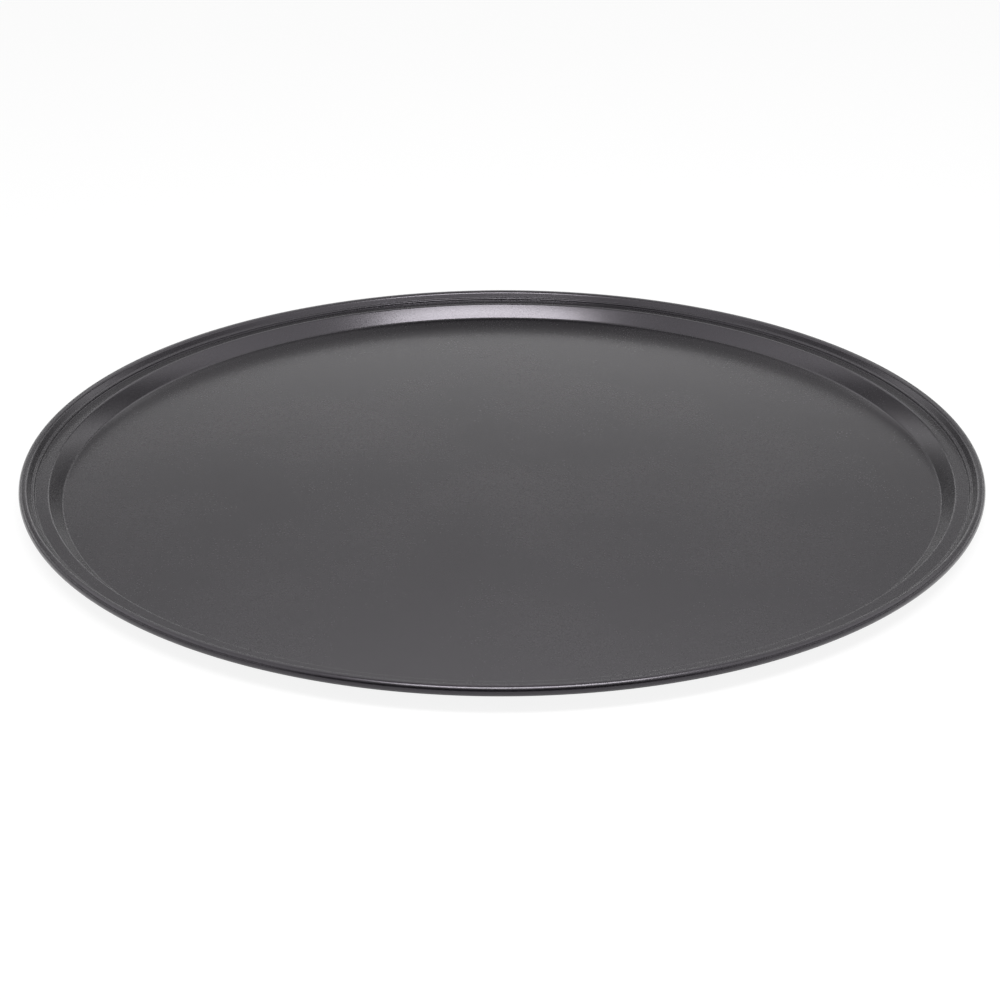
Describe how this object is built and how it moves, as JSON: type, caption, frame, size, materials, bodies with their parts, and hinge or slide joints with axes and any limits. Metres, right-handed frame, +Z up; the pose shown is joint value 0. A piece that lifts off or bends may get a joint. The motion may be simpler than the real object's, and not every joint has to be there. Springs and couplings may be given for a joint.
{
  "type": "pizza pan",
  "caption": "Round shallow baking tray with a flat floor, a sloped wall, a flat flange and a rim rolled round a wire.",
  "frame": {"origin": "centre of the underside of the floor, where the pan stands", "axes": "+Z up along the pan's axis, out of the open side; X and Y are alike"},
  "size_m": [0.3299, 0.33, 0.0091],
  "materials": {
    "non_stick_coated_steel": "baked dark grey non-stick coating, semi-gloss, with a very fine grain",
    "galvanised_wire": "drawn galvanised steel wire, dull"
  },
  "bodies": {
    "root": {"pan_body": "non_stick_coated_steel", "rim_wire": "galvanised_wire"}
  },
  "joints": []
}
